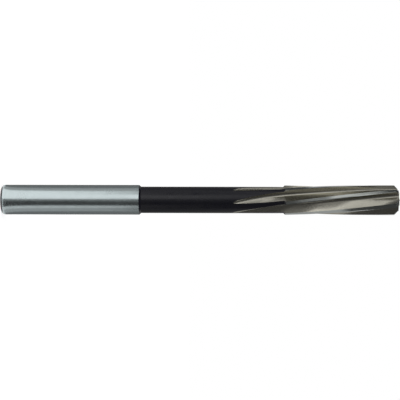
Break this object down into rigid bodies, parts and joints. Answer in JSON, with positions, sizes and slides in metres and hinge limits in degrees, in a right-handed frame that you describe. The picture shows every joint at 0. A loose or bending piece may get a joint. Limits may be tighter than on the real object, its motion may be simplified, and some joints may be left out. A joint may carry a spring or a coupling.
{
  "type": "machine reamer",
  "caption": "Machine reamer with a plain cylindrical shank, a thinner neck and a head with left-hand helical flutes, right-hand cutting.",
  "frame": {"origin": "centre of the shank's end face", "axes": "+Z along the tool's axis from the shank end to the cutting tip; +X and +Y lie in the shank's end face"},
  "size_m": [0.01, 0.01, 0.133],
  "materials": {
    "tool_steel": "ground"
  },
  "bodies": {
    "root": {"reamer": "tool_steel"}
  },
  "joints": []
}
